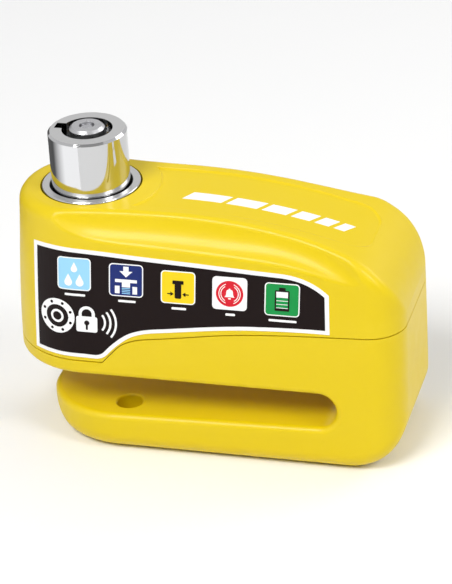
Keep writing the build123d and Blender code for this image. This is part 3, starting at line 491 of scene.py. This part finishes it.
def film(name, shapes, face, level, thickness, ink, cell, axis="Y"):
    """A thin closed sheet of printed shapes, laid on a CAD node's face.

    Shapes are closed outlines on the plane across the axis. level is the sheet's outer height above the
    face, in mm, and cell is how far apart it is cut to follow a curve."""
    mesh = bmesh.new()
    for outline in shapes:
        points = outline if signed_area(outline) > 0 else outline[::-1]
        loop = [mesh.verts.new((x, 0.0, z)) for x, z in points]
        mesh.faces.new(loop)
    cut_in_cells(mesh, cell)
    close_underside(mesh, drop_on_face(mesh, face, level, thickness, axis))
    data = bpy.data.meshes.new(name)
    mesh.to_mesh(data)
    mesh.free()
    piece = bpy.data.objects.new(name, data)
    bpy.context.scene.collection.objects.link(piece)
    data.materials.append(INKS[ink])
    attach(piece, CASE)


OUTLINE_GAP = 0.35  # mm, the least distance kept between two points of an outline
MITRE_LIMIT = 0.45  # keeps a sharp corner from running away when its outline moves inwards


def front_outline(node):
    """The closed outline of a thin plate's front face, as x and z in mm, without crowded points."""
    mesh = bmesh.new()
    mesh.from_mesh(nodes[node].data)
    bmesh.ops.remove_doubles(mesh, verts=mesh.verts[:], dist=1e-6)
    mesh.normal_update()
    front = {f for f in mesh.faces if f.normal.y < -0.5}
    following = {}
    for edge in mesh.edges:
        beside = [f for f in edge.link_faces if f in front]
        if len(beside) == 1:
            loop = next(c for c in edge.link_loops if c.face is beside[0])
            following[loop.vert] = loop.link_loop_next.vert
    start = next(iter(following))
    points, vert = [], start
    while True:
        points.append((vert.co.x / MM, vert.co.z / MM))
        vert = following[vert]
        if vert is start:
            break
    mesh.free()
    kept = []
    for point in points:
        if not kept or math.dist(point, kept[-1]) > OUTLINE_GAP:
            kept.append(point)
    if signed_area(kept) < 0:
        kept.reverse()
    return kept


def inset(points, distance):
    """Moves an anticlockwise outline inwards, with square corners kept."""
    moved = []
    count = len(points)
    for i in range(count):
        before, here, after = points[i - 1], points[i], points[(i + 1) % count]
        first = Vector((here[0] - before[0], here[1] - before[1])).normalized()
        second = Vector((after[0] - here[0], after[1] - here[1])).normalized()
        normal_a, normal_b = Vector((-first.y, first.x)), Vector((-second.y, second.x))
        bisector = (normal_a + normal_b).normalized()
        reach = distance / max(MITRE_LIMIT, bisector.dot(normal_a))
        moved.append((here[0] + bisector.x * reach, here[1] + bisector.y * reach))
    return moved


LEAN = 0.048  # the print leans over with the case's slanting end, by this much per mm of height
LEAN_Z = 44.0  # the height at which the lean moves nothing
LAYER_BASE = 0.03
LAYER_STEP = 0.02  # each layer of print stands this much above the one under it
LAYER_THICKNESS = 0.025
FIELD_THICKNESS = 0.045
LABEL_CELL = (0.75, 4.0)  # narrow cells, because the label bends round the case's left end
BORDER = 0.95  # the white rim of the label round its black field


def label(name, shapes, level, ink):
    """A printed layer on the front label. Shapes are given from the key cylinder's axis."""
    placed = [[(x + LOCK_X + LEAN * (z - LEAN_Z), z) for x, z in outline] for outline in shapes]
    height = LAYER_BASE + LAYER_STEP * level
    film(name, placed, "front_label", height, LAYER_THICKNESS, ink, LABEL_CELL)


field = inset(front_outline("front_label"), BORDER)
field_height = LAYER_BASE + LAYER_STEP
film("label_field", [field], "front_label", field_height, FIELD_THICKNESS, "black", LABEL_CELL)

ICONS = {  # each symbol's centre: mm from the key cylinder's axis, and height
    "drops": (0.15, 45.2),
    "push": (12.4, 44.6),
    "pin": (24.5, 43.85),
    "bell": (36.4, 43.4),
    "battery": (48.4, 42.9),
}
ICON_SIDE = 8.0
ICON_CORNER = 0.95
ICON_FRAME = 0.26
GROUND_CORNER = 0.7

frames = [rounded(x, z, ICON_SIDE, ICON_SIDE, ICON_CORNER) for x, z in ICONS.values()]
label("icon_frames", frames, 2, "white")


def icon_ground(key, ink):
    """The coloured square of a symbol. Returns its centre."""
    x, z = ICONS[key]
    side = ICON_SIDE - 2 * ICON_FRAME
    shape = rounded(x, z, side, side, GROUND_CORNER)
    label("icon_ground_" + key, [shape], 3, ink)
    return x, z


def draw_drops():
    """Three drops of water."""
    x, z = icon_ground("drops", "sky")
    label("icon_water_drops", [
        drop(x + 0.05, z + 1.65, 1.50, 2.45),
        drop(x - 1.35, z - 1.50, 1.85, 3.00),
        drop(x + 1.35, z - 1.50, 1.85, 3.00),
    ], 4, "white")


def draw_push():
    """A cylinder pressed down between two jaws, with an arrow above it."""
    x, z = icon_ground("push", "blue")
    arrow = [(0.62, 3.35), (0.62, 2.20), (1.50, 2.20), (0.0, 0.75)]
    cap = rounded(x, z - 0.15, 5.1, 0.75, 0.1)
    stem = rounded(x, z - 1.05, 1.9, 1.25)
    jaws = [rounded(x + side * 2.05, z - 2.35, 1.10, 1.85) for side in (-1, 1)]
    label("icon_push_pictogram", [shifted(mirrored(arrow), x, z), cap, stem, *jaws], 4, "white")
    turns = [rounded(x, z - 1.95 - 0.42 * i, 1.9, 0.20) for i in range(4)]
    label("icon_push_spring", turns, 4, "sky")


def draw_pin():
    """A round pin seen from the side, between the two arrows of a width measure."""
    x, z = icon_ground("pin", "yellow")
    shank = rounded(x, z - 0.9, 1.55, 3.6, 0.35)
    head = rounded(x, z + 1.25, 2.6, 0.9, 0.2)
    bar = [rounded(x + side * 2.0, z - 1.6, 1.0, 0.26) for side in (-1, 1)]
    tips = []
    for side in (-1, 1):
        tip = [(side * 0.98, -1.6), (side * 1.75, -1.05), (side * 1.75, -2.15)]
        tips.append(shifted(tip, x, z))
    label("icon_pin_pictogram", [shank, head, *bar, *tips], 4, "black")


def draw_bell():
    """A bell on a red disc, between arcs of sound."""
    x, z = icon_ground("bell", "white")
    low = z - 0.05
    label("icon_bell_disc", [circle(x, low, 3.15, 40)], 4, "red")
    arcs = []
    for start in (112.0, 292.0):
        arcs.append(arc_band(x, low, 2.45, 0.18, start, start + 136.0))
        arcs.append(arc_band(x, low, 2.00, 0.18, start + 10.0, start + 126.0))
    label("icon_bell_waves", arcs, 5, "white")
    clapper = rounded(x, low - 1.18, 0.62, 0.30, 0.14)
    label("icon_bell", [bell(x, low + 0.05, 0.72), clapper], 5, "white")


def draw_battery():
    """A battery with its top part empty."""
    x, z = icon_ground("battery", "green")
    low = z - 0.25
    label("icon_battery_outline", [
        rounded(x, low, 3.35, 5.0, 0.25),
        rounded(x, low + 2.75, 1.5, 0.85, 0.15),
    ], 4, "black")
    label("icon_battery_empty", [rounded(x, low + 1.55, 2.65, 1.25)], 5, "white")
    bars = [rounded(x, low + 0.42 - 0.86 * i, 2.65, 0.66) for i in range(3)]
    label("icon_battery_bars", bars, 5, "green")
    lines = [rounded(x, low + 0.85 - 0.86 * i, 2.65, 0.14) for i in range(4)]
    label("icon_battery_lines", lines, 5, "white")


def draw_title():
    """A brake disc, a padlock and sound waves, in place of words."""
    x, z = -4.1, 34.2
    disc = arc_band(x, z, 3.55, 1.5, 0.0, 359.0, 48)
    hub = arc_band(x, z, 1.35, 0.55, 0.0, 359.0, 32)
    label("title_disc", [disc, hub], 2, "white")
    holes = []
    for i in range(8):
        a = math.radians(45.0 * i + 22.5)
        holes.append(circle(x + 3.55 * math.cos(a), z + 3.55 * math.sin(a), 0.36, 16))
    label("title_disc_holes", holes, 3, "black")
    px, pz = 3.1, 32.9
    body = rounded(px, pz, 5.0, 3.9, 0.5)
    shackle = arc_band(px, pz + 2.6, 1.55, 0.72, 0.0, 180.0)
    legs = [rounded(px + side * 1.55, pz + 2.2, 0.72, 1.0) for side in (-1, 1)]
    label("title_padlock", [body, shackle, *legs], 2, "white")
    keyhole = [circle(px, pz + 0.35, 0.62), rounded(px, pz - 0.65, 0.5, 1.5, 0.15)]
    label("title_keyhole", keyhole, 3, "black")
    waves = [arc_band(px + 1.2, pz + 0.7, far, 0.5, -38.0, 38.0, 14) for far in (3.1, 4.4, 5.7)]
    label("title_waves", waves, 2, "white")


def draw_captions():
    """Plain bars where the small print would be."""
    widths = {"drops": 4.9, "push": 4.1, "pin": 3.4, "bell": 2.2, "battery": 6.4}
    bars = [rounded(x + 0.2, z - 5.15, widths[key], 0.55, 0.2) for key, (x, z) in ICONS.items()]
    label("caption_bars", bars, 2, "white")


def draw_top_motif():
    """A plain row of leaning bars on the sunk top panel."""
    near, far, lean, gap = -4.2, -0.7, 1.9, 1.15
    bars = []
    left = 22.6
    for width in (9.0, 7.0, 5.5, 4.2, 3.2, 2.4):
        right = left + width
        bars.append([(left, near), (right, near), (right + lean, far), (left + lean, far)])
        left = right + gap
    placed = [[(x + LOCK_X, y) for x, y in outline] for outline in bars]
    film("top_motif", placed, "upper_cover", 0.03, 0.06, "white", (1.0, 4.0), "Z")


draw_top_motif()
draw_drops()
draw_push()
draw_pin()
draw_bell()
draw_battery()
draw_title()
draw_captions()


# ---------------------------------------------------------------- return spring


def make_return_spring():
    """The spring under the cylinder, as a copy of the CAD spring fixed to the case and shown in its
    place.
    """
    solid = nodes["return_spring"]
    coil = bpy.data.objects.new("return_spring_coil", solid.data.copy())
    coil.matrix_world = solid.matrix_world.copy()
    bpy.context.scene.collection.objects.link(coil)
    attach(coil, CASE)
    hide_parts("return_spring")
    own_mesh(coil)


make_return_spring()


# ---------------------------------------------------------------- floor and light


FLOOR_SIZE = 8.0
FLOOR_DROP = 0.0002  # keeps the floor from sharing the base's surface
WALL_RADIUS, WALL_TOP, WALL_LIGHT = 1.25, 2.0, 0.78
CARD_RADIUS = 0.115
CARD_START, CARD_END = -152.0, -12.0  # degrees round the cylinder, from the label side towards the right
CARD_FADE = [(0.36, 0.13), (0.68, 1.50)]  # how far along the card, and how bright it is there


def make_floor():
    """A wide sheet of plain pale paper."""
    bpy.ops.mesh.primitive_grid_add(
        x_subdivisions=8, y_subdivisions=8, size=FLOOR_SIZE, location=(0, 0, -FLOOR_DROP)
    )
    floor = bpy.context.object
    floor.name = "floor"
    made = Surface("floor_paper", (0.90, 0.90, 0.898), 0.80)
    made.tint(made.spread(made.noise(60.0, 2.0), 0.4, 0.7, 0.0, 0.2), (0.92, 0.92, 0.92))
    made.relief(made.noise(1.0, 2.0), 0.01, 0.2)
    floor.data.materials.append(made.material)


def soft_box(name, place, aim, width, height, power):
    """A white area light that faces a point."""
    data = bpy.data.lights.new(name, "AREA")
    data.shape = "RECTANGLE"
    data.size = width
    data.size_y = height
    data.energy = power
    lamp = bpy.data.objects.new(name, data)
    bpy.context.scene.collection.objects.link(lamp)
    lamp.location = place
    lamp.rotation_euler = (Vector(aim) - Vector(place)).to_track_quat("-Z", "Y").to_euler()


def glow(name, stops):
    """A card's own even light, changing along the card's length through the given stops."""
    material = bpy.data.materials.new(name)
    material.use_nodes = True
    tree = material.node_tree
    tree.nodes.clear()
    place = tree.nodes.new("ShaderNodeUVMap")
    axes = tree.nodes.new("ShaderNodeSeparateXYZ")
    ramp = tree.nodes.new("ShaderNodeValToRGB")
    light = tree.nodes.new("ShaderNodeEmission")
    output = tree.nodes.new("ShaderNodeOutputMaterial")
    tree.links.new(place.outputs["UV"], axes.inputs[0])
    tree.links.new(axes.outputs["X"], ramp.inputs[0])
    tree.links.new(ramp.outputs["Color"], light.inputs["Color"])
    tree.links.new(light.outputs[0], output.inputs["Surface"])
    while len(ramp.color_ramp.elements) < len(stops):
        ramp.color_ramp.elements.new(0.5)
    for element, (position, level) in zip(ramp.color_ramp.elements, stops):
        element.position = position
        element.color = (level, level, level * 1.01, 1.0)
    return material


def card(name, centre, radius, start, end, low, high, stops, seen=False):
    """An upright curved card round a point, for reflections. Its angles run from -Y towards +X."""
    steps = max(2, round(abs(end - start) / 3.0))
    mesh = bmesh.new()
    layer = mesh.loops.layers.uv.new("along")
    columns = []
    for i in range(steps + 1):
        a = math.radians(start + (end - start) * i / steps)
        x, y = centre[0] + radius * math.sin(a), centre[1] - radius * math.cos(a)
        columns.append((mesh.verts.new((x, y, low)), mesh.verts.new((x, y, high))))
    for i in range(steps):
        face = mesh.faces.new((columns[i][0], columns[i + 1][0], columns[i + 1][1], columns[i][1]))
        for loop, (along, up) in zip(face.loops, ((i, 0), (i + 1, 0), (i + 1, 1), (i, 1))):
            loop[layer].uv = (along / steps, up)
    data = bpy.data.meshes.new(name)
    mesh.to_mesh(data)
    mesh.free()
    made = bpy.data.objects.new(name, data)
    bpy.context.scene.collection.objects.link(made)
    data.materials.append(glow(name, stops))
    made.visible_camera = seen
    made.visible_diffuse = False
    made.visible_shadow = False


def make_cards():
    """What the plated steel mirrors: a pale wall all round, and a card that fades from grey to white."""
    even = [(0.0, WALL_LIGHT), (1.0, WALL_LIGHT)]
    card("studio_wall", (0.0, 0.0), WALL_RADIUS, 0.0, 360.0, -0.001, WALL_TOP, even, seen=True)
    lock_axis = (LOCK_X * MM, 0.0)
    card("soft_card", lock_axis, CARD_RADIUS, CARD_START, CARD_END, 0.001, 0.085, CARD_FADE)


def make_world():
    """A soft studio, dim near the horizon and bright overhead."""
    world = bpy.data.worlds.new("studio")
    bpy.context.scene.world = world
    world.use_nodes = True
    tree = world.node_tree
    back = tree.nodes["Background"]
    place = tree.nodes.new("ShaderNodeTexCoord")
    axes = tree.nodes.new("ShaderNodeSeparateXYZ")
    ramp = tree.nodes.new("ShaderNodeValToRGB")
    tree.links.new(place.outputs["Generated"], axes.inputs[0])
    tree.links.new(axes.outputs["Z"], ramp.inputs[0])
    tree.links.new(ramp.outputs[0], back.inputs["Color"])
    low, high = ramp.color_ramp.elements
    low.position, low.color = 0.3, (0.18, 0.18, 0.185, 1.0)
    high.position, high.color = 0.85, (1.0, 1.0, 1.0, 1.0)
    back.inputs["Strength"].default_value = 0.42


make_floor()
make_world()
make_cards()
middle = (cad_box[0] + cad_box[1]) / 2
soft_box("key_box", (-0.26, -0.78, 1.00), middle, 0.55, 0.45, 11.4)
soft_box("top_box", (0.15, 0.30, 1.10), middle, 0.9, 0.7, 1.2)
soft_box("fill_box", (0.85, -0.35, 0.75), middle, 0.3, 0.5, 4.2)
soft_box("back_box", (0.80, 0.70, 0.62), middle, 0.6, 0.5, 3.4)
